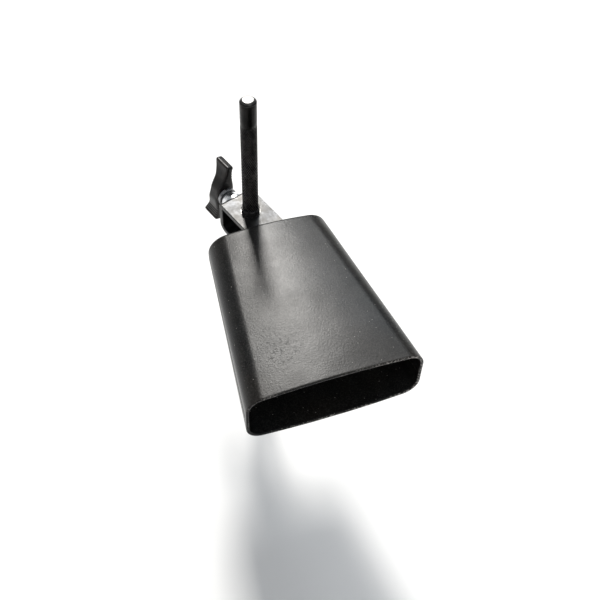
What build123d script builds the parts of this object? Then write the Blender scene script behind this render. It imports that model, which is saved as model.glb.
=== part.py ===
from build123d import *
import math
import os

# Drummer's cowbell on its mounting rod. All lengths are in millimetres.
# The rod runs along +Z, and the bell's mouth faces -Y. The origin is on the rod's axis, in the
# middle of the lower stretch that a stand's clamp grips.

# Rod
rod_diameter = 9.525  # three-eighths of an inch
rod_length = 230.0
rod_chamfer = 1.5
foot_length, head_length = 57.0, 12.6  # plain stretches at the rod's lower and upper ends
relief_width, relief_depth = 1.0, 0.25  # grooves between the plain stretches and the knurl
grip_height = 30.0  # from the rod's lower end up to the origin

# Bell: a tapered sheet-steel shell, measured outside
bell_length = 117.0
bell_sheet = 1.8
closed_width, closed_height, closed_corner = 73.0, 30.0, 12.3
mouth_width, mouth_height, mouth_corner = 99.5, 40.2, 10.3
closed_side_flat, mouth_side_flat = 1.2, 8.0  # half-heights of the straight part of the narrow sides
lip_round = 0.7
crown_plate_thickness = 2.0
crown_edge_round = 1.5
seam_gap = 1.6
bead_rise = 0.35

# Bracket: a bent strip, its upper face on the plate_top level
plate_top = 114.3
strip_width = 23.3
strip_thickness = 3.0
strip_drop = 22.0  # outside height of the channel
web_out = 16.5  # from the rod's axis to the outside of the web
upper_bend, lower_bend = 2.5, 6.0  # outside radii
bracket_skew = 18.0  # angle between the strip and the bell's axis, degrees
closed_end_distance = 16.45  # from the rod's axis to the bell's closed end, along the strip
bell_centre_drop = 10.3  # from plate_top down to the bell's axis
weld_leg = 2.8
weld_length = 20.0
weld_bulge = 0.58  # of the leg, from the corner to the middle of the weld's face, along each leg
strip_edge_round = 0.5

# Rod bushings
bushing_diameter = 11.0
bushing_rise = 3.9
bushing_flange_diameter = 12.8
bushing_flange_thickness = 1.1
bushing_flange_gap = 0.15
running_clearance = 0.05  # radial, for every shaft in its hole
scallop_count = 8
scallop_radius = 1.6
scallop_depth = 0.45

# Clamp screw, threaded boss and washers. "out" is the distance from the rod's axis along the screw.
screw_drop = 8.8  # from plate_top down to the screw's axis
screw_diameter = 8.0
screw_shoulder_out = 9.45
screw_end_out = 33.5
screw_chamfer = 0.5
neck_diameter, neck_end_out = 5.0, 6.9
clip_groove_diameter = 4.0
clip_outer_diameter = 7.4
clip_thickness = 0.6
clip_out = 7.05
clip_mouth_angle = 70.0
boss_shank_diameter = 10.4
boss_flare_diameter, boss_flare_height = 11.4, 0.6
boss_diameter, boss_straight = 14.4, 1.8
boss_nose_diameter, boss_nose_out, boss_nose_chamfer = 10.8, 23.6, 0.4
flat_washer_diameter, flat_washer_out, flat_washer_thickness = 12.2, 24.2, 1.2
spring_washer_diameter, spring_washer_thickness, spring_washer_slit = 11.4, 1.4, 1.0

# Knob
knob_turn = 16.0  # tilt of the knob's bar from upright, degrees
knob_length = 40.6
knob_tip_near_out, knob_near_out = 28.5, 27.2  # side towards the bracket, at the tips and at the hub
knob_tip_out, knob_flank_out, knob_crest_out = 40.8, 37.0, 35.7  # far side, from the tips to the hub
knob_flank_place = 10.3
knob_tip_width, knob_shoulder_width, knob_middle_width = 4.8, 8.2, 12.2
knob_tip_place, knob_shoulder_place = 16.0, 8.5
knob_tip_bevel = 1.0
hub_diameter = 12.0
insert_diameter, insert_length = 9.4, 7.5

# Vise jaw
jaw_rod_gap = 0.1
jaw_face_out = 3.0
jaw_back_out = 9.3
jaw_width, jaw_height = 13.0, 8.6
jaw_hole_diameter = 5.3
jaw_pocket_diameter, jaw_pocket_out = 8.2, 7.8
jaw_edge_round = 0.6

rod_radius = rod_diameter / 2
closed_end_y = -closed_end_distance * math.cos(math.radians(bracket_skew))
bell_x = closed_end_distance * math.sin(math.radians(bracket_skew))
bell_z = plate_top - bell_centre_drop

# In the bracket's own frame +X points from the web to the bell, with the rod's axis on Z.
bracket_place = Pos(0, 0, plate_top) * Rot(0, 0, bracket_skew - 90)
# In the screw's own frame +Z points outward along the screw, +X is up and +Y runs across the strip.
screw_place = bracket_place * Pos(0, 0, -screw_drop) * Rot(0, -90, 0)


def closed_face(*edges):
    return make_face(Wire(list(edges)))


def turned(*points):
    """Solid of revolution about Z from (radius, height) points."""
    return revolve(Plane.XZ * make_face(Polyline(*points, close=True)), axis=Axis.Z)


def tube(outer_radius, inner_radius, bottom, top):
    return turned((inner_radius, bottom), (outer_radius, bottom), (outer_radius, top), (inner_radius, top))


# ---- Bell ----

def bell_plane(station):
    """Plane across the bell, a given distance from the closed end towards the mouth."""
    return Plane(origin=(bell_x, closed_end_y - station, bell_z), x_dir=(1, 0, 0), z_dir=(0, -1, 0))


def bell_sizes(station):
    share = station / bell_length
    blend = lambda start, end: start + (end - start) * share
    return (blend(closed_width, mouth_width), blend(closed_height, mouth_height),
            blend(closed_corner, mouth_corner), blend(closed_side_flat, mouth_side_flat))


def bell_arch(station, inset, foot, side):
    """Edges of half an outline: narrow side, corner, crowned face, corner, narrow side.

    foot is the height above the seam where the outline starts and ends; side is 1 for the
    upper half and -1 for the lower. The corners are tangent to the crowned face.
    """
    width, height, corner, side_flat = bell_sizes(station)
    reach, rise = width / 2 - corner, height / 2 - side_flat
    crown = (reach ** 2 + rise ** 2 - corner ** 2) / (2 * (rise - corner))
    spread = math.asin(reach / (crown - corner))
    radius = corner - inset

    def on_corner(angle, hand):
        return (hand * (reach + radius * math.cos(angle)), side * (side_flat + radius * math.sin(angle)))

    top_angle = math.pi / 2 - spread
    edge_x = width / 2 - inset
    edges = []
    for hand in (1, -1):
        low, middle, high = (on_corner(top_angle * share, hand) for share in (0, 0.5, 1))
        straight = Line((hand * edge_x, side * foot), low)
        bend = ThreePointArc(low, middle, high)
        edges.append((straight, bend, high))
    (right_line, right_bend, right_high), (left_line, left_bend, left_high) = edges
    face_arc = ThreePointArc(right_high, (0, side * (height / 2 - inset)), left_high)
    return [right_line, right_bend, face_arc, left_bend, left_line]


def half_ring(station, side):
    """Wall section of one half shell, open by seam_gap between the halves."""
    foot = seam_gap / 2
    half_width = bell_sizes(station)[0] / 2
    ends = [Line((hand * half_width, side * foot), (hand * (half_width - bell_sheet), side * foot))
            for hand in (1, -1)]
    edges = bell_arch(station, 0, foot, side) + bell_arch(station, bell_sheet, foot, side) + ends
    return bell_plane(station) * closed_face(*edges)


def full_outline(station, inset):
    edges = bell_arch(station, inset, 0, 1) + bell_arch(station, inset, 0, -1)
    return bell_plane(station) * closed_face(*edges)


def half_shell(side):
    shell = loft([half_ring(crown_plate_thickness, side), half_ring(bell_length, side)], ruled=True)
    lip = shell.faces().sort_by(Axis.Y)[0]
    long_edges = lip.edges().filter_by(lambda edge: edge.length > 2 * bell_sheet)
    return fillet(long_edges, lip_round)


def seam_bead(hand):
    """Weld bead that fills the gap between the halves along one narrow side."""
    def section(station):
        outer = hand * bell_sizes(station)[0] / 2
        inner = outer - hand * bell_sheet
        foot = seam_gap / 2
        return bell_plane(station) * closed_face(
            ThreePointArc((outer, -foot), (outer + hand * bead_rise, 0), (outer, foot)),
            Line((outer, foot), (inner, foot)),
            ThreePointArc((inner, foot), (inner - hand * bead_rise, 0), (inner, -foot)),
            Line((inner, -foot), (outer, -foot)))
    return loft([section(crown_plate_thickness), section(bell_length - lip_round)], ruled=True)


def bell_crown_plate():
    return loft([full_outline(0, bell_sheet), full_outline(crown_plate_thickness, bell_sheet)], ruled=True)


def crown_weld():
    """Rounded weld that joins the crown plate to the ends of both half shells."""
    outer = loft([full_outline(0, 0), full_outline(crown_plate_thickness, 0)], ruled=True)
    rim = outer.faces().sort_by(Axis.Y)[-1]
    return fillet(rim.edges(), crown_edge_round) - bell_crown_plate()


# ---- Bracket ----

def mounting_bracket():
    inner_web = web_out - strip_thickness
    inner_lower = lower_bend - strip_thickness
    end = closed_end_distance + strip_width
    corner_x, heel_x = -web_out + upper_bend, -web_out + lower_bend
    diagonal = math.sqrt(0.5)
    profile = closed_face(
        Line((end, 0), (corner_x, 0)),
        ThreePointArc((corner_x, 0), (corner_x - upper_bend * diagonal, -upper_bend * (1 - diagonal)),
                      (-web_out, -upper_bend)),
        Line((-web_out, -upper_bend), (-web_out, -strip_drop + lower_bend)),
        ThreePointArc((-web_out, -strip_drop + lower_bend),
                      (heel_x - lower_bend * diagonal, -strip_drop + lower_bend * (1 - diagonal)),
                      (heel_x, -strip_drop)),
        Line((heel_x, -strip_drop), (end, -strip_drop)),
        Line((end, -strip_drop), (end, -strip_drop + strip_thickness)),
        Line((end, -strip_drop + strip_thickness), (heel_x, -strip_drop + strip_thickness)),
        ThreePointArc((heel_x, -strip_drop + strip_thickness),
                      (heel_x - inner_lower * diagonal, -strip_drop + lower_bend - inner_lower * diagonal),
                      (-inner_web, -strip_drop + lower_bend)),
        Line((-inner_web, -strip_drop + lower_bend), (-inner_web, -strip_thickness)),
        Line((-inner_web, -strip_thickness), (end, -strip_thickness)),
        Line((end, -strip_thickness), (end, 0)))
    strip = extrude(Plane.XZ * profile, amount=strip_width / 2, both=True)
    sides = strip.faces().filter_by(Axis.Y)
    strip = fillet([edge for face in sides for edge in face.edges()], strip_edge_round)
    rod_hole = Cylinder(bushing_diameter / 2 + running_clearance, 3 * strip_drop)
    strip = bracket_place * (strip - rod_hole)
    boss_hole = screw_place * Pos(0, 0, web_out) * Cylinder(boss_shank_diameter / 2, 3 * strip_thickness)
    reach = 4 * end
    beyond = Box(reach, reach, reach, align=(Align.CENTER, Align.MAX, Align.CENTER))
    return strip - boss_hole - Pos(0, closed_end_y, plate_top) * beyond


def bracket_weld(side):
    """Fillet weld between a flange of the bracket and the crown plate; side is 1 above, -1 below."""
    level = plate_top if side == 1 else plate_top - strip_drop
    bulge = weld_leg * weld_bulge
    section = closed_face(
        Line((0, 0), (weld_leg, 0)),
        ThreePointArc((weld_leg, 0), (bulge, side * bulge), (0, side * weld_leg)),
        Line((0, side * weld_leg), (0, 0)))
    across = Plane(origin=(bell_x, closed_end_y, level), x_dir=(0, 1, 0), z_dir=(1, 0, 0))
    return extrude(across * section, amount=weld_length / 2, both=True)


# ---- Rod and bushings ----

def mounting_rod():
    tip = rod_radius - rod_chamfer
    foot_end = rod_chamfer + foot_length
    head_start = rod_length - rod_chamfer - head_length
    groove = rod_radius - relief_depth
    rod = turned(
        (0, 0), (tip, 0), (rod_radius, rod_chamfer), (rod_radius, foot_end),
        (groove, foot_end + relief_depth), (groove, foot_end + relief_width - relief_depth),
        (rod_radius, foot_end + relief_width), (rod_radius, head_start - relief_width),
        (groove, head_start - relief_width + relief_depth), (groove, head_start - relief_depth),
        (rod_radius, head_start), (rod_radius, rod_length - rod_chamfer), (tip, rod_length), (0, rod_length))
    return Pos(0, 0, -grip_height) * rod


def rod_bushing(side):
    """Sleeve in a flange's hole, with a scalloped collar outside and a flange inside the channel."""
    bore = rod_radius + running_clearance
    collar = bushing_diameter / 2
    lip = bushing_flange_diameter / 2
    flange_top = -strip_thickness - bushing_flange_gap
    flange_bottom = flange_top - bushing_flange_thickness
    edge = scallop_depth
    sleeve = turned((bore, flange_bottom), (lip, flange_bottom), (lip, flange_top), (collar, flange_top),
                    (collar, bushing_rise - edge), (collar - edge, bushing_rise), (bore, bushing_rise))
    notch_height = bushing_rise - edge
    for index in range(scallop_count):
        notch = Cylinder(scallop_radius, notch_height, align=(Align.CENTER, Align.CENTER, Align.MIN))
        away = collar + scallop_radius - scallop_depth
        sleeve -= Rot(0, 0, index * 360 / scallop_count) * Pos(away, 0, 2 * edge) * notch
    if side == -1:
        sleeve = Pos(0, 0, -strip_drop) * mirror(sleeve, about=Plane.XY)
    return bracket_place * sleeve


# ---- Clamp ----

def clamp_boss():
    bore = screw_diameter / 2 + running_clearance
    shank, body, nose = boss_shank_diameter / 2, boss_diameter / 2, boss_nose_diameter / 2
    flare_out = web_out - strip_thickness
    flare = boss_flare_diameter / 2
    return screw_place * turned(
        (bore, flare_out - boss_flare_height), (flare - boss_flare_height, flare_out - boss_flare_height),
        (flare, flare_out), (shank, flare_out), (shank, web_out), (body, web_out),
        (body, web_out + boss_straight), (nose, boss_nose_out - boss_nose_chamfer),
        (nose - boss_nose_chamfer, boss_nose_out),
        (bore, boss_nose_out))


def clamp_screw():
    thread, neck, groove = screw_diameter / 2, neck_diameter / 2, clip_groove_diameter / 2
    return screw_place * turned(
        (0, neck_end_out), (neck, neck_end_out), (neck, clip_out), (groove, clip_out),
        (groove, clip_out + clip_thickness), (neck, clip_out + clip_thickness), (neck, screw_shoulder_out),
        (thread - screw_chamfer, screw_shoulder_out), (thread, screw_shoulder_out + screw_chamfer),
        (thread, screw_end_out - screw_chamfer), (thread - screw_chamfer, screw_end_out), (0, screw_end_out))


def jaw_retaining_clip():
    ring = tube(clip_outer_diameter / 2, clip_groove_diameter / 2, clip_out, clip_out + clip_thickness)
    half_angle = math.radians(clip_mouth_angle / 2)
    reach = clip_outer_diameter
    wedge = make_face(Polyline((0, 0), (reach * math.cos(half_angle), -reach * math.sin(half_angle)),
                               (reach * math.cos(half_angle), reach * math.sin(half_angle)), close=True))
    mouth = Pos(0, 0, clip_out) * extrude(wedge, amount=clip_thickness)
    return screw_place * (ring - mouth)


def vise_jaw():
    """Block with a right-angled groove that bears on the rod."""
    depth = jaw_back_out - jaw_face_out
    block = Pos(0, 0, jaw_face_out) * Box(jaw_height, jaw_width, depth,
                                          align=(Align.CENTER, Align.CENTER, Align.MIN))
    upright = block.edges().filter_by(Axis.Z)
    block = fillet(upright, jaw_edge_round)
    apex = (rod_radius + jaw_rod_gap) * math.sqrt(2)
    groove = make_face(Polyline((0, apex), (apex, 0), (-apex, 0), close=True))
    groove = extrude(Plane.YZ * groove, amount=jaw_height, both=True)
    pocket_depth = jaw_pocket_out - jaw_face_out
    pocket = Pos(0, 0, jaw_pocket_out - pocket_depth / 2) * Cylinder(jaw_pocket_diameter / 2, pocket_depth)
    hole = Pos(0, 0, jaw_back_out) * Cylinder(jaw_hole_diameter / 2, depth)
    return screw_place * (block - groove - pocket - hole)


def flat_washer():
    return screw_place * tube(flat_washer_diameter / 2, screw_diameter / 2, flat_washer_out,
                              flat_washer_out + flat_washer_thickness)


def spring_washer():
    bottom = flat_washer_out + flat_washer_thickness
    ring = tube(spring_washer_diameter / 2, screw_diameter / 2, bottom, bottom + spring_washer_thickness)
    slit = Pos(spring_washer_diameter / 2, 0, bottom) * Box(spring_washer_diameter, spring_washer_slit,
                                                          4 * spring_washer_thickness)
    return screw_place * (ring - slit)


hub_end_out = flat_washer_out + flat_washer_thickness + spring_washer_thickness


def knob_insert():
    insert_end = hub_end_out + insert_length
    return screw_place * tube(insert_diameter / 2, screw_diameter / 2, hub_end_out, insert_end)


def knob_body():
    """T-shaped grip: two flat wings, thin across and deep along the screw, on a round hub."""
    half = knob_length / 2
    tip_back = half - knob_tip_bevel
    far_edge = knob_tip_out - knob_tip_bevel
    near_edge = knob_tip_near_out + knob_tip_bevel
    far_side = Spline((-tip_back, knob_tip_out), (-knob_flank_place, knob_flank_out), (0, knob_crest_out),
                      (knob_flank_place, knob_flank_out), (tip_back, knob_tip_out))
    near_side = Polyline(
        (tip_back, knob_tip_out), (half, far_edge), (half, near_edge), (tip_back, knob_tip_near_out),
        (knob_shoulder_place, knob_near_out), (-knob_shoulder_place, knob_near_out),
        (-tip_back, knob_tip_near_out), (-half, near_edge), (-half, far_edge), (-tip_back, knob_tip_out))
    bar = extrude(Plane.XZ * make_face([far_side, near_side]), amount=hub_diameter, both=True)

    def flank(hand):
        tip, shoulder = hand * knob_tip_width / 2, hand * knob_shoulder_width / 2
        return [(-half, tip), (-knob_tip_place, tip), (-knob_shoulder_place, shoulder),
                (0, hand * knob_middle_width / 2), (knob_shoulder_place, shoulder), (knob_tip_place, tip),
                (half, tip)]

    right, left = flank(1), flank(-1)
    plan = closed_face(Spline(*right), Line(right[-1], left[-1]), Spline(*left), Line(left[0], right[0]))
    grip = bar & extrude(plan, amount=knob_tip_out)
    upward = (Align.CENTER, Align.CENTER, Align.MIN)
    hub_height = knob_crest_out - hub_end_out - knob_tip_bevel
    hub = Pos(0, 0, hub_end_out) * Cylinder(hub_diameter / 2, hub_height, align=upward)
    grip = Rot(0, 0, knob_turn) * (grip + hub)
    bore = Cylinder(insert_diameter / 2, insert_length, align=upward)
    tail = Cylinder(screw_diameter / 2, screw_end_out - hub_end_out, align=upward)
    return screw_place * (grip - Pos(0, 0, hub_end_out) * (bore + tail))


nodes = {
    "mounting_rod": mounting_rod(),
    "rod_bushing_upper": rod_bushing(1),
    "rod_bushing_lower": rod_bushing(-1),
    "bell_upper_shell": half_shell(1),
    "bell_lower_shell": half_shell(-1),
    "bell_crown_plate": bell_crown_plate(),
    "crown_weld": crown_weld(),
    "seam_weld_left": seam_bead(-1),
    "seam_weld_right": seam_bead(1),
    "mounting_bracket": mounting_bracket(),
    "bracket_weld_upper": bracket_weld(1),
    "bracket_weld_lower": bracket_weld(-1),
    "clamp_boss": clamp_boss(),
    "clamp_screw": clamp_screw(),
    "jaw_retaining_clip": jaw_retaining_clip(),
    "vise_jaw": vise_jaw(),
    "flat_washer": flat_washer(),
    "spring_washer": spring_washer(),
    "knob_insert": knob_insert(),
    "knob_body": knob_body(),
}

os.makedirs("parts", exist_ok=True)
for name, shape in nodes.items():
    export_step(shape, f"parts/{name}.step")
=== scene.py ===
import math

import bmesh
import bpy
import numpy as np
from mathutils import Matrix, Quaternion, Vector, noise


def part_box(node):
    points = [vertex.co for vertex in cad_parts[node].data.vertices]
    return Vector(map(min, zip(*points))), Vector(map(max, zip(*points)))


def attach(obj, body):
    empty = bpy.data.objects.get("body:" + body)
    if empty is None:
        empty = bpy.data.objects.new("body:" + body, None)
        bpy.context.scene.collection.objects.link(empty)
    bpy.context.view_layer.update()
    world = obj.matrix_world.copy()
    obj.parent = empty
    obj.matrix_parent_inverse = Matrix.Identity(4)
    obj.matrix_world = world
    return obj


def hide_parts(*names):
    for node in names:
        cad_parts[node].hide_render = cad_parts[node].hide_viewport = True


# The looks of a drummer's cowbell on its mounting rod. Lengths in the builders are in millimetres
# and are turned into metres when a mesh is made. The rod runs along +Z and the mouth faces -Y.

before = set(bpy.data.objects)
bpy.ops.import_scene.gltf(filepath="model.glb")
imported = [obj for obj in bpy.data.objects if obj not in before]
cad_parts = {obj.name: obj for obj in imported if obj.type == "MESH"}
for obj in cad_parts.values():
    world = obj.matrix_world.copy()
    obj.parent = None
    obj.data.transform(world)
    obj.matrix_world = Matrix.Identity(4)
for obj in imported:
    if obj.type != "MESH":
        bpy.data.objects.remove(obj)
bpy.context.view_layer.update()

MM = 0.001
TURN = 2 * math.pi

# Levels and centres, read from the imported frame
rod_low, rod_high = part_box("mounting_rod")
bracket_low, bracket_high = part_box("mounting_bracket")
crown_low, crown_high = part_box("bell_crown_plate")
shell_low, shell_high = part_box("bell_upper_shell")
rod_bottom = rod_low.z / MM
rod_length = (rod_high.z - rod_low.z) / MM
rod_radius = (rod_high.x - rod_low.x) / 2 / MM
plate_top = bracket_high.z / MM
bracket_bottom = bracket_low.z / MM
closed_end_y = crown_high.y / MM
bell_x = (shell_low.x + shell_high.x) / 2 / MM
bell_z = (crown_low.z + crown_high.z) / 2 / MM

# Bell
bell_length = 117.0
bell_sheet = 1.8
closed_width, closed_height, closed_corner, closed_side_flat = 73.0, 30.0, 12.3, 1.2
mouth_width, mouth_height, mouth_corner, mouth_side_flat = 99.5, 40.2, 10.3, 8.0
shell_start = 2.0
seam_half_gap = 0.8
lip_round = 0.7

# Rod
rod_chamfer = 1.5
foot_length, head_length = 57.0, 12.6
run_out = 1.0
knurl_starts = 22
knurl_slant = math.radians(30)
knurl_depth = 0.42

# Clamp: distances from the rod's axis along the screw
bracket_skew = math.radians(18)
screw_drop = 8.8
knob_turn = math.radians(16)
hub_end_out = 26.8


# ---- Mesh helpers ----

def piece(name, vertices, faces, body, material, stands_for=(), sharp=38.0):
    """Makes a mesh object from millimetre vertices, and rides it on its body."""
    mesh = bpy.data.meshes.new(name)
    mesh.from_pydata((np.asarray(vertices, float) * MM).tolist(), [], [list(face) for face in faces])
    mesh.validate()
    repair = bmesh.new()
    repair.from_mesh(mesh)
    bmesh.ops.remove_doubles(repair, verts=repair.verts, dist=1e-7)
    bmesh.ops.recalc_face_normals(repair, faces=repair.faces)
    repair.to_mesh(mesh)
    repair.free()
    mesh.polygons.foreach_set("use_smooth", [True] * len(mesh.polygons))
    mesh.set_sharp_from_angle(angle=math.radians(sharp))
    made = bpy.data.objects.new(name, mesh)
    bpy.context.scene.collection.objects.link(made)
    made.data.materials.append(material)
    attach(made, body)
    if stands_for:
        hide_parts(*stands_for)
    return made


def grid_faces(rows, columns, loop_rows=False, loop_columns=False):
    """Quads of a grid whose vertices are stored row after row."""
    faces = []
    for row in range(rows if loop_rows else rows - 1):
        below = (row + 1) % rows
        for column in range(columns if loop_columns else columns - 1):
            beside = (column + 1) % columns
            faces.append((row * columns + column, row * columns + beside,
                          below * columns + beside, below * columns + column))
    return faces


def turned(profile, segments):
    """Rings of points of a (radius, height) profile turned about Z."""
    angles = np.arange(segments) * TURN / segments
    return [(radius * math.cos(angle), radius * math.sin(angle), height)
            for radius, height in profile for angle in angles]


def lathe(profile, segments):
    """Vertices and faces of a closed (radius, height) profile turned about Z."""
    return np.array(turned(profile, segments)), grid_faces(len(profile), segments, True, True)


def end_faces(rows, columns):
    """The two faces that close the ends of a grid whose columns loop."""
    last = (rows - 1) * columns
    return [tuple(range(columns)), tuple(range(last, last + columns))]


def closed_tube(rows):
    """Vertices and faces of rows of points joined into a tube, with a face over each end."""
    rows = np.asarray(rows)
    count, columns = rows.shape[:2]
    faces = grid_faces(count, columns, loop_columns=True) + end_faces(count, columns)
    return rows.reshape(-1, 3), faces


def along_screw(points):
    """From the screw's frame (up, across, outward) to the row frame."""
    points = np.asarray(points, float)
    outward = np.array([-math.sin(bracket_skew), math.cos(bracket_skew), 0.0])
    across = np.array([math.cos(bracket_skew), math.sin(bracket_skew), 0.0])
    up = np.array([0.0, 0.0, 1.0])
    start = np.array([0.0, 0.0, plate_top - screw_drop])
    return start + points[:, :1] * up + points[:, 1:2] * across + points[:, 2:] * outward


def smooth_step(value, low, high):
    """Ramp from 0 at low to 1 at high; low may be the greater of the two."""
    share = np.clip((np.asarray(value, float) - low) / (high - low), 0.0, 1.0)
    return share * share * (3 - 2 * share)


def unevenness(point, size, seed):
    """Smooth noise between -1 and 1 whose features are about size millimetres across."""
    return noise.noise(Vector(point) / size + Vector((seed * 7.31, seed * 3.17, seed * 5.93)))


# ---- Material helpers ----

class Finish:
    """A Principled material that is built up from procedural layers in object space."""

    def __init__(self, name, colour, roughness, metallic=0.0, **sockets):
        self.material = bpy.data.materials.new(name)
        self.material.use_nodes = True
        self.tree = self.material.node_tree
        self.tree.nodes.clear()
        self.shader = self.tree.nodes.new("ShaderNodeBsdfPrincipled")
        output = self.tree.nodes.new("ShaderNodeOutputMaterial")
        self.tree.links.new(self.shader.outputs["BSDF"], output.inputs["Surface"])
        self.place = self.tree.nodes.new("ShaderNodeTexCoord").outputs["Object"]
        self.shader.inputs["Base Color"].default_value = (*colour, 1.0)
        self.shader.inputs["Roughness"].default_value = roughness
        self.shader.inputs["Metallic"].default_value = metallic
        for socket, value in sockets.items():
            self.shader.inputs[socket.replace("_", " ")].default_value = value

    def node(self, kind, **settings):
        made = self.tree.nodes.new(kind)
        for name, value in settings.items():
            setattr(made, name, value)
        return made

    def feed(self, socket, value):
        if isinstance(value, bpy.types.NodeSocket):
            self.tree.links.new(value, socket)
        elif isinstance(value, tuple):
            socket.default_value = (*value, 1.0) if len(value) == 3 and socket.type == "RGBA" else value
        else:
            socket.default_value = value

    def stretched(self, stretch, turn=(0.0, 0.0, 0.0)):
        """Object coordinates, turned and then scaled by a factor on each axis."""
        rotated = self.node("ShaderNodeMapping")
        self.feed(rotated.inputs["Vector"], self.place)
        self.feed(rotated.inputs["Rotation"], turn)
        scaled = self.node("ShaderNodeMapping")
        self.feed(scaled.inputs["Vector"], rotated.outputs["Vector"])
        self.feed(scaled.inputs["Scale"], stretch)
        return scaled.outputs["Vector"]

    def noise(self, size, detail=3.0, rough=0.5, place=None, distortion=0.0):
        """Noise whose features are about size millimetres across."""
        made = self.node("ShaderNodeTexNoise")
        self.feed(made.inputs["Vector"], place or self.place)
        made.inputs["Scale"].default_value = 1 / (size * MM)
        made.inputs["Detail"].default_value = detail
        made.inputs["Roughness"].default_value = rough
        made.inputs["Distortion"].default_value = distortion
        return made.outputs[0]

    def cells(self, size, feature="F1"):
        """Scattered cells about size millimetres apart."""
        made = self.node("ShaderNodeTexVoronoi", feature=feature)
        self.feed(made.inputs["Vector"], self.place)
        made.inputs["Scale"].default_value = 1 / (size * MM)
        return made

    def between(self, value, low, high, to_low=0.0, to_high=1.0):
        """Smooth ramp of a value from low to high, on to another range."""
        made = self.node("ShaderNodeMapRange", interpolation_type="SMOOTHSTEP")
        for socket, given in zip(made.inputs, (value, low, high, to_low, to_high)):
            self.feed(socket, given)
        return made.outputs["Result"]

    def math(self, operation, *values):
        made = self.node("ShaderNodeMath", operation=operation)
        for socket, given in zip(made.inputs, values):
            self.feed(socket, given)
        return made.outputs["Value"]

    def times(self, one, other):
        return self.math("MULTIPLY", one, other)

    def plus(self, one, other):
        return self.math("ADD", one, other)

    def greater(self, one, other):
        return self.math("MAXIMUM", one, other)

    def mixed(self, share, one, other):
        """Mix of two colours or two numbers."""
        number = not isinstance(one, tuple) and not isinstance(other, tuple)
        if number and isinstance(one, bpy.types.NodeSocket) and one.type == "RGBA":
            number = False
        kind = "FLOAT" if number else "RGBA"
        made = self.node("ShaderNodeMix", data_type=kind)
        inputs = [socket for socket in made.inputs if socket.enabled]
        outputs = [socket for socket in made.outputs if socket.enabled]
        self.feed(inputs[0], share)
        self.feed(inputs[1], one)
        self.feed(inputs[2], other)
        return outputs[0]

    def attribute(self, name):
        return self.node("ShaderNodeAttribute", attribute_name=name).outputs["Fac"]

    def edges(self, radius, low=0.01, high=0.12):
        """1 near the piece's outward edges and 0 on its flat and gently curved faces."""
        bevel = self.node("ShaderNodeBevel", samples=6)
        bevel.inputs["Radius"].default_value = radius * MM
        flat = self.node("ShaderNodeNewGeometry").outputs["Normal"]
        dot = self.node("ShaderNodeVectorMath", operation="DOT_PRODUCT")
        self.feed(dot.inputs[0], bevel.outputs["Normal"])
        self.feed(dot.inputs[1], flat)
        return self.between(self.math("SUBTRACT", 1.0, dot.outputs["Value"]), low, high)

    def set(self, socket, value):
        self.feed(self.shader.inputs[socket], value)

    def relief(self, *layers):
        """Bump from (height, depth in millimetres) layers."""
        normal = None
        for height, depth in layers:
            bump = self.node("ShaderNodeBump")
            bump.inputs["Strength"].default_value = 1.0
            bump.inputs["Distance"].default_value = depth * MM
            self.feed(bump.inputs["Height"], height)
            if normal is not None:
                self.feed(bump.inputs["Normal"], normal)
            normal = bump.outputs["Normal"]
        self.feed(self.shader.inputs["Normal"], normal)


def settled_dust(made):
    """Masks for haze and fine mottling on the upper side, and for separate specks."""
    upward = made.node("ShaderNodeSeparateXYZ")
    made.feed(upward.inputs[0], made.node("ShaderNodeTexCoord").outputs["Normal"])
    faces_up = made.between(upward.outputs["Z"], 0.3, 0.95)
    haze = made.times(faces_up, made.between(made.noise(9, 7, 0.6), 0.35, 0.85))
    mottle = made.times(faces_up, made.between(made.noise(0.8, 3, 0.7), 0.47, 0.62))
    grains = made.cells(1.9)
    speck = made.between(grains.outputs["Distance"], 0.13, 0.07)
    chosen = made.node("ShaderNodeSeparateColor")
    made.feed(chosen.inputs[0], grains.outputs["Color"])
    speck = made.times(speck, made.between(chosen.outputs["Red"], 0.82, 0.86))
    return haze, mottle, speck


def crossed_scratches(made):
    """Mask for fine scratches in two directions, gathered in patches."""
    lines = made.noise(1.1, 2, 0.5, made.stretched((1.0, 0.035, 0.3), (0.0, 0.0, 0.5)))
    others = made.noise(1.3, 2, 0.5, made.stretched((0.04, 1.0, 0.3), (0.0, 0.0, -0.35)))
    lines = made.greater(made.between(lines, 0.74, 0.78), made.between(others, 0.75, 0.79))
    return made.times(lines, made.between(made.noise(16, 2), 0.5, 0.62))


def struck_patch(made):
    """Masks for the crazed and pitted paint near the mouth, where sticks land."""
    struck = made.node("ShaderNodeVectorMath", operation="DISTANCE")
    made.feed(struck.inputs[0], made.place)
    struck.inputs[1].default_value = ((bell_x - 24) * MM, (closed_end_y - 88) * MM, (bell_z + 18) * MM)
    near = made.between(struck.outputs["Value"], 0.022, 0.004)
    crazing = made.between(made.cells(1.7, "DISTANCE_TO_EDGE").outputs["Distance"], 0.07, 0.0)
    broken = made.between(made.noise(1.6, 4, 0.7), 0.5, 0.62)
    crazing = made.times(made.times(crazing, broken), near)
    pits = made.cells(3.1)
    pit = made.between(pits.outputs["Distance"], 0.16, 0.04)
    pit = made.times(pit, made.between(made.noise(9, 2), 0.55, 0.68))
    return crazing, made.times(pit, made.plus(made.times(near, 0.85), 0.15))


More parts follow.
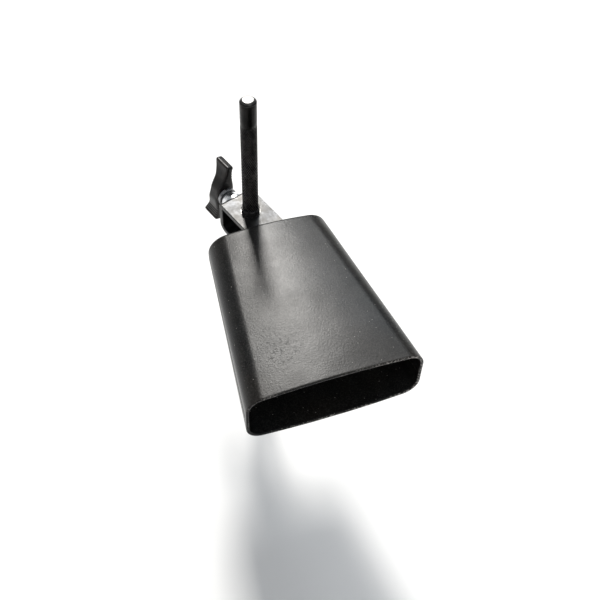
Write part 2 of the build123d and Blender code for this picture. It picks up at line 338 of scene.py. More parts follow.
def bell_finish():
    """Satin black enamel on sheet steel, with dust, fine scratches, pits and a bare worn lip."""
    made = Finish("bell_enamel", (0.006, 0.006, 0.006), 0.3, IOR=1.26)
    haze, mottle, speck = settled_dust(made)
    scratches = crossed_scratches(made)
    crazing, pit = struck_patch(made)
    chips = made.between(made.noise(1.3, 4, 0.7), 0.46, 0.62)
    chips = made.times(chips, made.between(made.noise(19, 3), 0.42, 0.6))
    bare = made.times(made.attribute("wear"), chips)
    patches = made.between(made.noise(38, 3, 0.5), 0.3, 0.75)
    tint = made.mixed(patches, (0.0045, 0.0048, 0.0052), (0.0095, 0.0080, 0.0068))
    tint = made.mixed(made.times(haze, 0.035), tint, (0.16, 0.155, 0.145))
    tint = made.mixed(made.times(mottle, 0.035), tint, (0.5, 0.49, 0.46))
    tint = made.mixed(made.times(speck, 0.8), tint, (0.42, 0.41, 0.38))
    tint = made.mixed(made.times(scratches, 0.25), tint, (0.09, 0.088, 0.085))
    tint = made.mixed(bare, tint, (0.3, 0.285, 0.27))
    made.set("Base Color", tint)
    made.set("Metallic", bare)
    gloss = made.between(made.noise(30, 3, 0.5), 0.25, 0.75, 0.27, 0.305)
    gloss = made.plus(gloss, made.times(haze, 0.04))
    gloss = made.plus(gloss, made.times(speck, 0.3))
    gloss = made.plus(gloss, made.times(scratches, 0.12))
    made.set("Roughness", gloss)
    peel = made.noise(2.2, 3, 0.55)
    grain = made.noise(1.0, 3, 0.7)
    made.relief((peel, 0.02), (grain, 0.07), (crazing, -0.04), (pit, -0.05), (scratches, -0.012))
    return made.material


def bracket_finish(name, rubbed_share):
    """Dark plated strip with a faint draw grain and brighter rubbed edges."""
    made = Finish(name, (0.04, 0.04, 0.041), 0.36, 1.0)
    cloud = made.between(made.noise(12, 5, 0.6), 0.3, 0.75)
    tint = made.mixed(cloud, (0.036, 0.037, 0.039), (0.060, 0.058, 0.055))
    rubbed = made.times(made.edges(0.9), made.between(made.noise(1.2, 4, 0.7), 0.3, 0.55))
    tint = made.mixed(made.times(rubbed, rubbed_share), tint, (0.42, 0.41, 0.4))
    scuffs = made.noise(1.4, 2, 0.5, made.stretched((1.0, 0.05, 1.0), (0.0, 0.0, -0.9)))
    scuffs = made.between(scuffs, 0.7, 0.76)
    tint = made.mixed(made.times(scuffs, 0.35), tint, (0.3, 0.3, 0.3))
    made.set("Base Color", tint)
    made.set("Roughness", made.between(made.noise(6, 5, 0.7), 0.3, 0.7, 0.34, 0.48))
    draw = made.noise(0.5, 3, 0.6, made.stretched((1.0, 0.12, 1.0), (0.0, 0.0, -bracket_skew)))
    made.relief((made.noise(0.8, 4, 0.7), 0.014), (draw, 0.005), (scuffs, -0.01))
    return made.material


def rod_finish():
    """Black oxide on turned and knurled steel, rubbed on its crests and bare on its end faces."""
    made = Finish("rod_black_oxide", (0.035, 0.035, 0.037), 0.32, 1.0)
    cloud = made.between(made.noise(9, 5, 0.65), 0.3, 0.7)
    tint = made.mixed(cloud, (0.006, 0.006, 0.0065), (0.017, 0.016, 0.015))
    bands = made.between(made.noise(5.5, 3, 0.6, made.stretched((0.25, 0.25, 1.0))), 0.56, 0.72)
    streaks = made.noise(2.2, 3, 0.6, made.stretched((1.0, 1.0, 0.5), (0.5, 0.4, 0.0)))
    rubbed = made.times(made.attribute("wear"), made.between(streaks, 0.42, 0.62))
    rubbed = made.times(rubbed, made.plus(made.times(bands, 0.7), 0.3))
    faced = made.times(made.attribute("ends"), made.between(made.noise(1.4, 3), 0.2, 0.5, 0.6, 1.0))
    tint = made.mixed(rubbed, tint, (0.3, 0.29, 0.28))
    made.set("Base Color", made.mixed(faced, tint, (0.2, 0.195, 0.19)))
    made.set("Roughness", made.between(made.noise(1.3, 4, 0.7), 0.3, 0.7, 0.26, 0.42))
    turning = made.noise(0.12, 2, 0.5, made.stretched((0.05, 0.05, 1.0)))
    made.relief((made.noise(0.6, 3, 0.6), 0.006), (turning, 0.002))
    return made.material


def bushing_finish():
    made = Finish("bushing_moulded_nylon", (0.014, 0.014, 0.015), 0.5)
    worn = made.times(made.edges(0.5), made.between(made.noise(0.9, 3, 0.6), 0.35, 0.6))
    tint = made.mixed(made.noise(3, 4, 0.6), (0.006, 0.006, 0.0065), (0.013, 0.0125, 0.012))
    made.set("Base Color", made.mixed(made.times(worn, 0.3), tint, (0.035, 0.034, 0.033)))
    made.set("Roughness", made.between(made.noise(1.8, 4, 0.6), 0.3, 0.7, 0.38, 0.6))
    made.relief((made.noise(0.25, 3, 0.6), 0.008), (made.noise(2.4, 2), 0.02))
    return made.material


def knob_finish():
    """Moulded black nylon with a spark-eroded texture that handling has polished on its ridges."""
    made = Finish("knob_moulded_nylon", (0.007, 0.006, 0.006), 0.4, IOR=1.35)
    polished = made.times(made.attribute("wear"), made.between(made.noise(2.5, 3, 0.6), 0.3, 0.6))
    tint = made.mixed(made.between(made.noise(5, 4, 0.6), 0.3, 0.7), (0.004, 0.0039, 0.004),
                      (0.013, 0.0088, 0.0074))
    grime = made.between(made.noise(1.1, 5, 0.7), 0.6, 0.72)
    tint = made.mixed(made.times(grime, 0.12), tint, (0.12, 0.11, 0.1))
    made.set("Base Color", tint)
    base = made.between(made.noise(1.5, 4, 0.7), 0.3, 0.7, 0.3, 0.42)
    made.set("Roughness", made.mixed(polished, base, 0.18))
    made.relief((made.noise(0.22, 3, 0.6), 0.012), (made.noise(1.2, 2), 0.012))
    return made.material


def bare_metal(name, dull, bright, rough_low, rough_high, grain=(1.0, 1.0, 1.0), turn=(0.0, 0.0, 0.0)):
    """Plated or machined metal with cloudy tarnish, a fine lay of tool marks and clean edges."""
    made = Finish(name, bright, rough_low, 1.0)
    cloud = made.between(made.noise(3.2, 5, 0.65), 0.3, 0.72)
    tint = made.mixed(cloud, dull, bright)
    clean = made.times(made.edges(0.35), 0.5)
    made.set("Base Color", made.mixed(clean, tint, tuple(min(1.0, part * 1.15) for part in bright)))
    made.set("Roughness", made.between(made.noise(1.1, 4, 0.7), 0.3, 0.7, rough_low, rough_high))
    marks = made.noise(0.25, 3, 0.6, made.stretched(grain, turn))
    made.relief((marks, 0.006), (made.noise(0.8, 2), 0.006))
    return made.material


def floor_finish():
    made = Finish("pale_floor", (0.86, 0.86, 0.86), 0.8)
    made.set("Base Color", made.mixed(made.noise(180, 3), (0.85, 0.85, 0.85), (0.87, 0.87, 0.87)))
    return made.material


across_screw = (0.0, 0.0, -bracket_skew)
paint = bell_finish()
plating = bracket_finish("bracket_plating", 0.8)
weld_plating = bracket_finish("plated_weld", 0.03)
oxide = rod_finish()
bushing_nylon = bushing_finish()
knob_nylon = knob_finish()
zinc = bare_metal("bright_zinc", (0.58, 0.59, 0.61), (0.8, 0.81, 0.83), 0.18, 0.34,
                  (1, 0.1, 1), across_screw)
screw_steel = bare_metal("rolled_screw_steel", (0.42, 0.42, 0.42), (0.62, 0.62, 0.63), 0.22, 0.4)
spring_steel = bare_metal("oiled_spring_steel", (0.2, 0.2, 0.21), (0.4, 0.4, 0.41), 0.25, 0.45)
dull_zinc = bare_metal("tarnished_zinc", (0.12, 0.12, 0.125), (0.34, 0.34, 0.35), 0.24, 0.42)
brass = bare_metal("machined_brass", (0.56, 0.42, 0.2), (0.8, 0.62, 0.32), 0.2, 0.38)


def surface(piece_object, name, values):
    layer = piece_object.data.attributes.new(name, "FLOAT", "POINT")
    layer.data.foreach_set("value", np.asarray(values, np.float32))


# ---- Bell ----

def bell_sizes(station):
    share = station / bell_length
    start = np.array([closed_width, closed_height, closed_corner, closed_side_flat])
    end = np.array([mouth_width, mouth_height, mouth_corner, mouth_side_flat])
    return start + (end - start) * share


def bell_arch(station, inset, side, flat_steps=4, corner_steps=14, face_steps=96):
    """Half an outline from the right seam over the face to the left seam, as (across, up) rows."""
    width, height, corner, side_flat = bell_sizes(station)
    reach, rise = width / 2 - corner, height / 2 - side_flat
    crown = (reach ** 2 + rise ** 2 - corner ** 2) / (2 * (rise - corner))
    spread = math.asin(reach / (crown - corner))
    corner_end = math.pi / 2 - spread
    flat = [(width / 2 - inset, seam_half_gap + (side_flat - seam_half_gap) * step / flat_steps)
            for step in range(flat_steps)]
    bend = [(reach + (corner - inset) * math.cos(angle), side_flat + (corner - inset) * math.sin(angle))
            for angle in np.linspace(0, corner_end, corner_steps + 1)]
    centre = height / 2 - crown
    face = [((crown - inset) * math.sin(angle), centre + (crown - inset) * math.cos(angle))
            for angle in np.linspace(spread, -spread, face_steps + 1)[1:-1]]
    right = flat + bend
    left = [(-x, z) for x, z in reversed(right)]
    points = np.array(right + face + left)
    return points * np.array([1, side])


def bell_point_rows(stations, depths, side):
    """Rows of points of half the wall: one row for each (station, depth below the outer face)."""
    dent, ripple, lip_dent = 0.16, 0.05, 0.12
    ends = {}
    for depth in (0.0, bell_sheet):
        ends[depth] = (bell_arch(shell_start, depth, side), bell_arch(bell_length, depth, side))
    rows = []
    for station, depth in zip(stations, depths):
        share = (station - shell_start) / (bell_length - shell_start)
        outer, inner = (one + (other - one) * share for one, other in (ends[0.0], ends[bell_sheet]))
        inward = (inner - outer) / bell_sheet
        flat = outer + inward * depth
        columns = len(flat)
        from_seam = np.minimum(np.arange(columns), np.arange(columns)[::-1])
        swell = smooth_step(from_seam, 3, 16) * smooth_step(station, 3, 14)
        for column in range(columns):
            spot = (outer[column][0], station, outer[column][1])
            wave = dent * unevenness(spot, 31, 1) + ripple * unevenness(spot, 11, 2)
            flat[column] += inward[column] * wave * swell[column]
        forward = lip_dent * np.array([max(0.0, unevenness((x, 0, z), 14, 3)) for x, z in flat])
        forward *= smooth_step(station, bell_length - 10, bell_length)
        rows.append(np.column_stack([bell_x + flat[:, 0],
                                     closed_end_y - station + forward,
                                     bell_z + flat[:, 1]]))
    return np.array(rows)


def worn_lip(made):
    """Marks the lip's rounding, where sticks and the floor wear the paint off."""
    station = closed_end_y - np.array([vertex.co.y for vertex in made.data.vertices]) / MM
    surface(made, "wear", smooth_step(station, bell_length - 0.75, bell_length - 0.15))


def half_shell(side):
    """One half of the shell: outer face, rounded lip, inner face and the two seam edges."""
    body_stations = np.linspace(shell_start, bell_length - 3.0, 104).tolist()
    near_lip = np.linspace(bell_length - 2.4, bell_length - lip_round, 4).tolist()
    angles = np.linspace(0, math.pi / 2, 6)[1:]
    bend = [(bell_length - lip_round + lip_round * math.sin(angle), lip_round * (1 - math.cos(angle)))
            for angle in angles]
    outer = [(station, 0.0) for station in body_stations + near_lip] + bend
    inner = [(station, bell_sheet - depth) for station, depth in reversed(outer)]
    profile = outer + inner
    stations, depths = zip(*profile)
    rows = bell_point_rows(stations, depths, side)
    count, columns = rows.shape[:2]
    faces = grid_faces(count, columns, loop_rows=True)
    for column in (0, columns - 1):
        for row in range(count // 2 - 1):
            faces.append((row * columns + column, (row + 1) * columns + column,
                          (count - 2 - row) * columns + column, (count - 1 - row) * columns + column))
    name = "upper" if side == 1 else "lower"
    made = piece(f"bell_{name}_half", rows.reshape(-1, 3), faces, "bell", paint,
                 [f"bell_{name}_shell"])
    worn_lip(made)


def seam_weld(hand):
    """Rippled weld bead over the joint of the two halves, outside and inside."""
    half_width, arc_steps, sunk = 1.35, 8, 0.08
    straight = np.arange(shell_start - 0.4, bell_length - lip_round - 0.1, 0.22)
    turn = np.linspace(0, 0.4 * math.pi, 5)
    stations = np.append(straight, bell_length - lip_round + (lip_round - 0.05) * np.sin(turn))
    dips = np.append(0 * straight, lip_round * (1 - np.cos(turn)))
    rows = []
    for station, dip in zip(stations, dips):
        wander = 0.12 * unevenness((0, station, hand * 9), 6, 4)
        ripple = abs(math.sin(station * math.pi / 1.75 + 0.8 * unevenness((0, station, 0), 9, 5)))
        ends = smooth_step(station, shell_start - 0.4, shell_start + 2.5)
        ends *= 1 - smooth_step(station, bell_length - 4, bell_length - 1)
        edge = bell_sizes(station)[0] / 2
        rise = (0.10 + 0.16 * ripple) * ends
        row = []
        for step in range(arc_steps + 1):
            angle = math.pi * step / arc_steps
            row.append((edge - dip - sunk + (rise + 0.06) * math.sin(angle),
                        wander - half_width * math.cos(angle)))
        for step in range(arc_steps + 1):
            angle = math.pi * step / arc_steps
            row.append((edge - bell_sheet + dip + sunk - (rise + 0.04) * math.sin(angle),
                        wander + half_width * math.cos(angle)))
        rows.append([(bell_x + hand * across, closed_end_y - station, bell_z + up) for across, up in row])
    vertices, faces = closed_tube(rows)
    name = "right" if hand == 1 else "left"
    made = piece(f"bell_seam_weld_{name}", vertices, faces, "bell", paint,
                 [f"seam_weld_{name}"], 60)
    worn_lip(made)


def full_outline(station, inset):
    """Closed outline of the bell at a station, as (across, up) points."""
    return np.vstack([bell_arch(station, inset, 1), bell_arch(station, inset, -1)[::-1]])


def crown_weld():
    """Ring of weld that closes the bell: a rounded outer edge and a rippled toe on the plate."""
    corner = 1.5
    angles = np.linspace(0, math.pi / 2, 7)
    profile = [(shell_start, 0.0)]
    profile += [(corner - corner * math.sin(angle), corner - corner * math.cos(angle)) for angle in angles]
    profile += [(0.04, 1.9), (0.12, 2.35), (0.26, 2.8), (0.42, 3.1), (0.6, 3.2), (shell_start, 3.2)]
    outer = full_outline(0, 0)
    inward = full_outline(0, 1.0) - outer
    grown = full_outline(shell_start, 0) - outer
    gaps = np.linalg.norm(np.roll(outer, -1, 0) - outer, axis=1)
    travelled = np.concatenate([[0], np.cumsum(gaps)[:-1]])
    rows = []
    for station, depth in profile:
        toe = smooth_step(depth, 1.2, 2.4) * (station < 0.5)
        ripple = np.abs(np.sin(travelled * math.pi / 1.9)) * 0.14 * toe
        row = outer + grown * station / shell_start + inward * depth
        rows.append(np.column_stack([bell_x + row[:, 0],
                                     np.full(len(row), closed_end_y - station) - ripple,
                                     bell_z + row[:, 1]]))
    rows = np.array(rows)
    faces = grid_faces(rows.shape[0], rows.shape[1], True, True)
    return piece("bell_crown_weld", rows.reshape(-1, 3), faces, "bell", paint,
                 ["crown_weld"], 50)


def crown_plate():
    """Plate across the closed end, very slightly dished by the heat of its weld."""
    face, back, edge_inset, dish_depth = 0.4, shell_start - 0.02, 2.6, 0.35
    outline = full_outline(0, edge_inset)
    shares = [1.0, 0.93, 0.84, 0.72, 0.58, 0.44, 0.3, 0.16, 0.05]
    rings = [(face, share) for share in shares] + [(back, share) for share in reversed(shares)]
    rows = []
    for level, share in rings:
        dish = dish_depth * (1 - share ** 2)
        rows.append([(bell_x + x * share, closed_end_y - level - dish, bell_z + z * share)
                     for x, z in outline])
    rows = np.array(rows)
    count, columns = rows.shape[:2]
    faces = grid_faces(count, columns, False, True)
    faces += [(column, (column + 1) % columns, (count - 1) * columns + (column + 1) % columns,
               (count - 1) * columns + column) for column in range(columns)]
    middle = count // 2
    faces = [face for face in faces if not {middle - 1, middle} == {index // columns for index in face}]
    faces.append(range((middle - 1) * columns, middle * columns))
    faces.append(range(middle * columns, (middle + 1) * columns))
    return piece("bell_crown_plate_dished", rows.reshape(-1, 3), faces, "bell", paint,
                 ["bell_crown_plate"])


# ---- Bracket welds ----

def bracket_weld(side):
    """Fillet weld along a flange, laid as overlapping ripples with rounded ends."""
    leg, length, arc_steps = 2.8, 20.0, 10
    level = plate_top if side == 1 else bracket_bottom
    rows = []
    for x in np.arange(-length / 2, length / 2 + 0.01, 0.2):
        ends = math.sqrt(max(0.0, 1 - abs(2 * x / length) ** 7))
        ripple = abs(math.sin(x * math.pi / 1.9 + 0.6 * unevenness((x, 0, side), 5, 6)))
        size = leg * (0.16 + ends * (0.70 + 0.10 * ripple))
        row = [(-0.6, -0.6)]
        for step in range(arc_steps + 1):
            angle = math.pi / 2 * step / arc_steps
            bulge = 0.86 + 0.14 * abs(math.cos(2 * angle))
            row.append((size * bulge * math.cos(angle), size * bulge * math.sin(angle)))
        rows.append([(bell_x + x, closed_end_y + out, level + side * up) for out, up in row])
    vertices, faces = closed_tube(rows)
    name = "upper" if side == 1 else "lower"
    return piece(f"bracket_fillet_weld_{name}", vertices, faces, "bell",
                 weld_plating, [f"bracket_weld_{name}"], 60)


# ---- Rod ----

def rod():
    """Rod with chamfered plain ends and a diamond knurl between them."""
    foot_end = rod_chamfer + foot_length
    head_start = rod_length - rod_chamfer - head_length
    knurl_start, knurl_end = foot_end + run_out, head_start - run_out
    cell_width = TURN * rod_radius / knurl_starts
    cells = round((knurl_end - knurl_start) * math.tan(knurl_slant) / cell_width)
    steps = 6
    columns = knurl_starts * steps
    edge = 0.25
    plain = [(0.0, 0.02, 1), (0.0, rod_radius - rod_chamfer - edge, 1),
             (0.06, rod_radius - rod_chamfer - 0.03, 1), (0.2, rod_radius - rod_chamfer + 0.18, 0.6),
             (rod_chamfer - 0.18, rod_radius - 0.2, 0), (rod_chamfer, rod_radius - 0.05, 0.35),
             (rod_chamfer + edge, rod_radius, 0)]
    plain += [(height, rod_radius, 0) for height in np.linspace(3, foot_end - 0.3, 12)]
    levels = plain + [(foot_end, rod_radius, 0), (knurl_start, rod_radius - 0.04, 0)]
    knurl_first = len(levels)
    knurl_rows = cells * steps
    heights = knurl_start + (knurl_end - knurl_start) * np.arange(1, knurl_rows) / knurl_rows
    levels += [(height, rod_radius, 0) for height in heights]
    knurl_last = len(levels)
    levels += [(knurl_end, rod_radius - 0.04, 0), (head_start, rod_radius, 0)]
    levels += [(height, rod_radius, 0) for height in
               np.linspace(head_start + 0.3, rod_length - rod_chamfer - edge, 5)]
    levels += [(rod_length - height, radius, bare) for height, radius, bare in reversed(plain[:6])]
    angles = np.arange(columns) * TURN / columns
    vertices, wear, ends = [], [], []
    for index, (height, radius, bare) in enumerate(levels):
        crest = np.zeros(columns)
        radii = np.full(columns, radius)
        if knurl_first <= index < knurl_last:
            row = index - knurl_first + 1
            across = np.arange(columns) / steps
            one, other = across + row / steps, across - row / steps
            from_groove = np.minimum(np.minimum(one % 1, 1 - one % 1), np.minimum(other % 1, 1 - other % 1))
            crest = np.minimum(1.0, 3 * from_groove)
            fade = smooth_step(min(row, knurl_rows - row), 0, 2 * steps)
            radii = radius - knurl_depth * (1 - crest) * fade - 0.04 * (1 - fade)
        vertices += zip(radii * np.cos(angles), radii * np.sin(angles),
                        np.full(columns, rod_bottom + height))
        wear += list(smooth_step(crest, 0.75, 1.0))
        ends += [bare] * columns
    faces = []
    for row in range(len(levels) - 1):
        knurled = knurl_first - 1 <= row < knurl_last
        for column in range(columns):
            beside = (column + 1) % columns
            a, b = row * columns + column, row * columns + beside
            c, d = (row + 1) * columns + beside, (row + 1) * columns + column
            if not knurled:
                faces.append((a, b, c, d))
                continue
            level = row - knurl_first + 1.5
            one, other = ((column + 0.5 + level) / steps) % 1, ((column + 0.5 - level) / steps) % 1
            if min(one, 1 - one) < min(other, 1 - other):
                faces += [(a, b, d), (b, c, d)]
            else:
                faces += [(a, b, c), (a, c, d)]
    faces += end_faces(len(levels), columns)
    made = piece("knurled_rod", vertices, faces, "rod", oxide, ["mounting_rod"], 30)
    surface(made, "wear", wear)
    surface(made, "ends", ends)
    return made


# ---- Clamp ----

def screw():
    """Clamp screw: turned neck with the clip's groove, shoulder and a rolled M8 thread."""
    pitch, crest, root, chamfer = 1.25, 4.0, 3.35, 0.6
    neck_end, clip_out, clip_width, neck, groove = 6.9, 7.05, 0.6, 2.5, 2.0
    shoulder, end = 9.45, 33.5
    columns = 48
    start = [(0.02, neck_end), (neck - 0.2, neck_end), (neck, neck_end + 0.12), (neck, clip_out),
             (groove, clip_out), (groove, clip_out + clip_width), (neck, clip_out + clip_width),
             (neck, shoulder - 0.01), (neck + 0.1, shoulder), (crest - chamfer, shoulder)]
    finish = [(crest - chamfer, end), (0.02, end)]
    threaded = np.arange(shoulder + 0.1, end - 0.1, 0.09)
    angles = np.arange(columns) * TURN / columns
    vertices = turned(start, columns)
    for out in threaded:
        phase = (out / pitch - angles / TURN) % 1.0
        rise = np.clip(1.45 - 3.4 * np.abs(phase - 0.5), 0.0, 1.0)
        top = min(crest, crest - chamfer + (out - shoulder), crest - chamfer + (end - out))
        radii = np.minimum(root + (crest - root) * rise, top)
        vertices += zip(radii * np.cos(angles), radii * np.sin(angles), np.full(columns, out))
    vertices += turned(finish, columns)
    rows = len(vertices) // columns
    faces = grid_faces(rows, columns, loop_columns=True) + end_faces(rows, columns)
    return piece("threaded_clamp_screw", along_screw(vertices), faces, "screw",
                 screw_steel, ["clamp_screw"], 40)


def flat_washer():
    """Punched washer: one side rounded by the die, the other with its small burr."""
    inner, outer, near, thick = 4.05, 6.1, 24.2, 1.2
    profile = [(inner + 0.12, near), (outer - 0.35, near), (outer - 0.12, near + 0.07),
               (outer, near + 0.3), (outer, near + thick - 0.06), (outer - 0.06, near + thick),
               (inner + 0.06, near + thick), (inner, near + thick - 0.06), (inner, near + 0.12)]
    vertices, faces = lathe(profile, 96)
    return piece("punched_flat_washer", along_screw(vertices), faces, "screw", dull_zinc,
                 ["flat_washer"], 50)


def spring_washer():
    """Split lock washer, compressed, its two ends still slightly apart."""
    inner, outer, near, thick, step, slit = 4.1, 5.7, 25.41, 1.25, 0.12, 1.0
    half_slit = slit / 2 / outer
    section = [(inner + 0.1, 0.0), (outer - 0.15, 0.03), (outer, 0.18), (outer, thick - 0.18),
               (outer - 0.15, thick - 0.03), (inner + 0.1, thick), (inner, thick - 0.1), (inner, 0.1)]
    rows = []
    for angle in np.linspace(half_slit, TURN - half_slit, 90):
        lift = near + step * angle / TURN
        rows.append([(radius * math.cos(angle), radius * math.sin(angle), lift + height)
                     for radius, height in section])
    vertices, faces = closed_tube(rows)
    return piece("split_spring_washer", along_screw(vertices), faces, "screw",
                 spring_steel, ["spring_washer"], 50)


def rounded_rectangle(half_a, half_b, radius, corner_steps=5, side_steps=8):
    """Closed outline with rounded corners, as (a, b) points that always number the same."""
    corners = [(1, 1, 0), (-1, 1, 1), (-1, -1, 2), (1, -1, 3)]
    points = []
    for index, (sign_a, sign_b, quarter) in enumerate(corners):
        centre = np.array([sign_a * (half_a - radius), sign_b * (half_b - radius)])
        for step in range(corner_steps + 1):
            angle = math.pi / 2 * (quarter + step / corner_steps)
            points.append(centre + radius * np.array([math.cos(angle), math.sin(angle)]))
        next_a, next_b, _ = corners[(index + 1) % 4]
        angle = math.pi / 2 * (quarter + 1)
        following = np.array([next_a * (half_a - radius), next_b * (half_b - radius)])
        following = following + radius * np.array([math.cos(angle), math.sin(angle)])
        start = points[-1]
        for step in range(1, side_steps):
            points.append(start + (following - start) * step / side_steps)
    return np.array(points)


def convexity(mesh):
    """How far each vertex stands out from its neighbours, in millimetres."""
    count = len(mesh.vertices)
    spots, normals = np.empty(count * 3), np.empty(count * 3)
    mesh.vertices.foreach_get("co", spots)
    mesh.vertices.foreach_get("normal", normals)
    spots, normals = spots.reshape(-1, 3), normals.reshape(-1, 3)
    ends = np.empty(len(mesh.edges) * 2, int)
    mesh.edges.foreach_get("vertices", ends)
    ends = ends.reshape(-1, 2)
    total, met = np.zeros((count, 3)), np.zeros(count)
    for one, other in ((0, 1), (1, 0)):
        np.add.at(total, ends[:, one], spots[ends[:, other]])
        np.add.at(met, ends[:, one], 1)
    middle = total / np.maximum(met, 1)[:, None]
    return ((spots - middle) * normals).sum(1) / MM


def applied(made):
    """Bakes an object's modifiers into its own mesh."""
    graph = bpy.context.evaluated_depsgraph_get()
    mesh = bpy.data.meshes.new_from_object(made.evaluated_get(graph), depsgraph=graph)
    made.modifiers.clear()
    made.data = mesh


def knob_wing_rows():
    """Sections of the knob's bar from tip to tip, in the screw's frame before it is turned."""
    half, end_round = 20.25, 1.3
    inside = np.linspace(-(half - end_round), half - end_round, 160).tolist()
    rounding = [(half - end_round + end_round * math.sin(angle), end_round * (1 - math.cos(angle)))
                for angle in np.linspace(0, math.pi / 2, 7)[1:]]
    places = [(-place, inset) for place, inset in reversed(rounding)]
    places += [(place, 0.0) for place in inside] + rounding
    rows = []
    for place, inset in places:
        away = abs(place)
        outer = 35.9 + 1.3 * smooth_step(away, 0, 13) + 4.0 * smooth_step(away, 8.5, 21)
        near = 27.2 + 0.6 * smooth_step(away, 9, 20)
        width = 4.9 + 2.4 * smooth_step(away, 17, 8) + 4.7 * smooth_step(away, 11.5, 2.5)
        section = rounded_rectangle((outer - near) / 2 - inset, width / 2 - inset, 1.45 - 0.8 * inset)
        rib = (away - 11.2) / 1.85
        if 0 < rib < 4:
            cut = 0.4 * smooth_step(abs(math.sin(rib * math.pi)), 0.2, 0.9)
            side = math.copysign(1, place)
            flat = side * section[:, 1] > width / 2 - 0.9
            section[flat, 1] -= side * cut
        rows.append([(place, across, (outer + near) / 2 + out) for out, across in section])
    return rows


def bore_cutter(radius, start, end, columns=64):
    """Round bar along the screw that cuts the seat of the knob's insert."""
    profile = [(radius, start), (radius, end)]
    faces = grid_faces(2, columns, loop_columns=True) + end_faces(2, columns)
    mesh = bpy.data.meshes.new("insert_bore")
    mesh.from_pydata((along_screw(turned(profile, columns)) * MM).tolist(), [], faces)
    outside = bmesh.new()
    outside.from_mesh(mesh)
    bmesh.ops.recalc_face_normals(outside, faces=outside.faces)
    outside.to_mesh(mesh)
    outside.free()
    cutter = bpy.data.objects.new("insert_bore", mesh)
    bpy.context.scene.collection.objects.link(cutter)
    return cutter


def knob():
    """Moulded T-knob: rounded wings with grip ribs near their tips, on a short hub."""
    hub_radius, hub_back, bevel, middle, columns = 6.0, 33.0, 0.25, 0.3, 72
    bore_radius, bore_depth = 4.7, 7.5
    vertices, faces = closed_tube(knob_wing_rows())
    profile = [(middle, hub_end_out), (hub_radius - bevel, hub_end_out), (hub_radius, hub_end_out + bevel),
               (hub_radius, hub_back), (middle, hub_back)]
    hub_faces = grid_faces(len(profile), columns, loop_columns=True) + end_faces(len(profile), columns)
    faces += [[index + len(vertices) for index in face] for face in hub_faces]
    vertices = np.vstack([vertices, turned(profile, columns)])
    cos, sin = math.cos(knob_turn), math.sin(knob_turn)
    skewed = np.column_stack([vertices[:, 0] * cos - vertices[:, 1] * sin,
                              vertices[:, 0] * sin + vertices[:, 1] * cos, vertices[:, 2]])
    made = piece("moulded_t_knob", along_screw(skewed), faces, "screw", knob_nylon,
                 ["knob_body"], 60)
    melt = made.modifiers.new("one_skin", "REMESH")
    melt.mode = "VOXEL"
    melt.voxel_size = 0.27 * MM
    soften = made.modifiers.new("moulding_radii", "SMOOTH")
    soften.factor = 0.5
    soften.iterations = 3
    cutter = bore_cutter(bore_radius, hub_end_out - 1.0, hub_end_out + bore_depth)
    cut = made.modifiers.new("insert_bore", "BOOLEAN")
    cut.operation = "DIFFERENCE"
    cut.solver = "EXACT"
    cut.object = cutter
    applied(made)
    bpy.data.objects.remove(cutter)
    made.data.materials.clear()
    made.data.materials.append(knob_nylon)
    made.data.polygons.foreach_set("material_index", [0] * len(made.data.polygons))
    made.data.polygons.foreach_set("use_smooth", [True] * len(made.data.polygons))
    made.data.set_sharp_from_angle(angle=math.radians(50))
    surface(made, "wear", smooth_step(convexity(made.data), 0.008, 0.04))
    return made


half_shell(1)
half_shell(-1)
seam_weld(1)
seam_weld(-1)
crown_weld()
crown_plate()
bracket_weld(1)
bracket_weld(-1)
rod()
screw()
flat_washer()
spring_washer()
knob()

kept_nodes = {
    "mounting_bracket": plating,
    "clamp_boss": zinc,
    "vise_jaw": zinc,
    "jaw_retaining_clip": spring_steel,
    "knob_insert": brass,
    "rod_bushing_upper": bushing_nylon,
    "rod_bushing_lower": bushing_nylon,
}
for node, finish in kept_nodes.items():
    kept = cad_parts[node]
    kept.data.materials.clear()
    kept.data.materials.append(finish)


# ---- Floor, light and camera ----

def floor():
    """Pale round floor that curves up into a wall, so that its edge is never seen."""
    flat, bend, height = 3200.0, 700.0, 1500.0
    level = rod_bottom - 0.5
    profile = [(radius, level) for radius in (0.5, 400.0, 1200.0, 2200.0)]
    profile += [(flat + bend * math.sin(angle), level + bend * (1 - math.cos(angle)))
                for angle in np.linspace(0, math.pi / 2, 16)]
    profile.append((flat + bend, level + height))
    columns = 96
    faces = grid_faces(len(profile), columns, loop_columns=True) + [tuple(range(columns))]
    mesh = bpy.data.meshes.new("floor")
    mesh.from_pydata((np.array(turned(profile, columns)) * MM).tolist(), [], faces)
    mesh.polygons.foreach_set("use_smooth", [True] * len(mesh.polygons))
    made = bpy.data.objects.new("floor", mesh)
    bpy.context.scene.collection.objects.link(made)
    made.data.materials.append(floor_finish())


target = Vector((bell_x, closed_end_y - 55, bell_z)) * MM


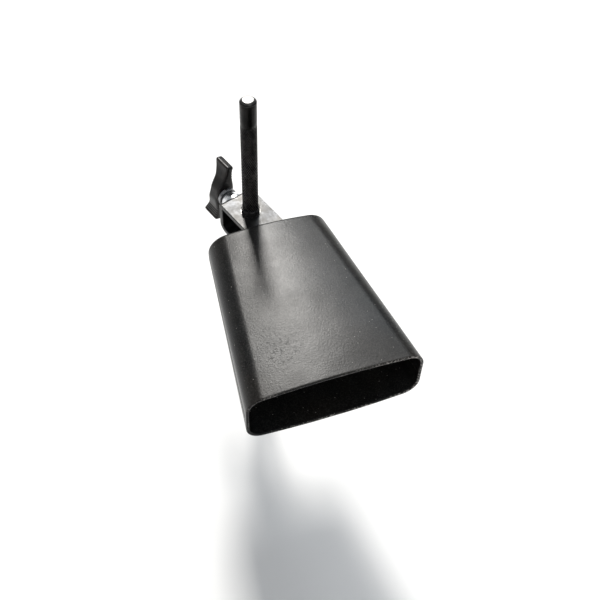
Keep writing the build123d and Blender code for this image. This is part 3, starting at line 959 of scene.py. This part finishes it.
def softbox(name, azimuth, elevation, distance, width, height, radiance, colour=(1.0, 1.0, 1.0)):
    """Rectangular light that faces the bell, placed by its compass direction and height."""
    azimuth, elevation = math.radians(azimuth), math.radians(elevation)
    away = Vector((math.sin(azimuth) * math.cos(elevation), math.cos(azimuth) * math.cos(elevation),
                   math.sin(elevation)))
    light = bpy.data.lights.new(name, "AREA")
    light.shape = "RECTANGLE"
    light.size, light.size_y = width, height
    light.energy = radiance * math.pi * width * height
    light.color = colour
    made = bpy.data.objects.new(name, light)
    made.location = target + away * distance
    made.rotation_mode = "QUATERNION"
    made.rotation_quaternion = (-away).to_track_quat("-Z", "Y")
    made.visible_camera = False
    bpy.context.scene.collection.objects.link(made)


def studio():
    world = bpy.data.worlds.new("studio")
    bpy.context.scene.world = world
    world.use_nodes = True
    background = world.node_tree.nodes["Background"]
    background.inputs["Color"].default_value = (0.9, 0.95, 1.0, 1.0)
    background.inputs["Strength"].default_value = 0.3
    # the window behind the bell, which its upper face mirrors to the camera
    softbox("window", 11.5, 46.5, 3.0, 0.46, 0.6, 116.0, (1.0, 0.975, 0.935))
    softbox("window_sill", 22, 40.5, 3.0, 0.72, 0.24, 22.0, (0.95, 0.98, 1.0))
    softbox("back_wall", 38, 41, 3.2, 0.8, 0.8, 4.5, (0.86, 0.94, 1.0))
    softbox("ceiling", -140, 80, 3.0, 2.2, 2.2, 0.6)
    softbox("front_fill", 168, 44, 3.0, 1.5, 0.8, 1.8)


def camera():
    """The photographer's view: from the front left, well above the bell."""
    azimuth, elevation, roll = math.radians(-21.31), math.radians(52.16), math.radians(2.36)
    back = Vector((math.sin(azimuth) * math.cos(elevation), -math.cos(azimuth) * math.cos(elevation),
                   math.sin(elevation)))
    data = bpy.data.cameras.new("camera")
    data.sensor_width = 36.0
    data.lens = 56.18
    data.clip_start = 0.01
    data.clip_end = 50.0
    made = bpy.data.objects.new("camera", data)
    made.location = Vector((-0.1105, -0.3708, 0.5258))
    made.rotation_mode = "QUATERNION"
    made.rotation_quaternion = (-back).to_track_quat("-Z", "Y") @ Quaternion((0, 0, 1), roll)
    bpy.context.scene.collection.objects.link(made)
    bpy.context.scene.camera = made


floor()
studio()
camera()
bpy.context.scene.view_settings.view_transform = "Standard"
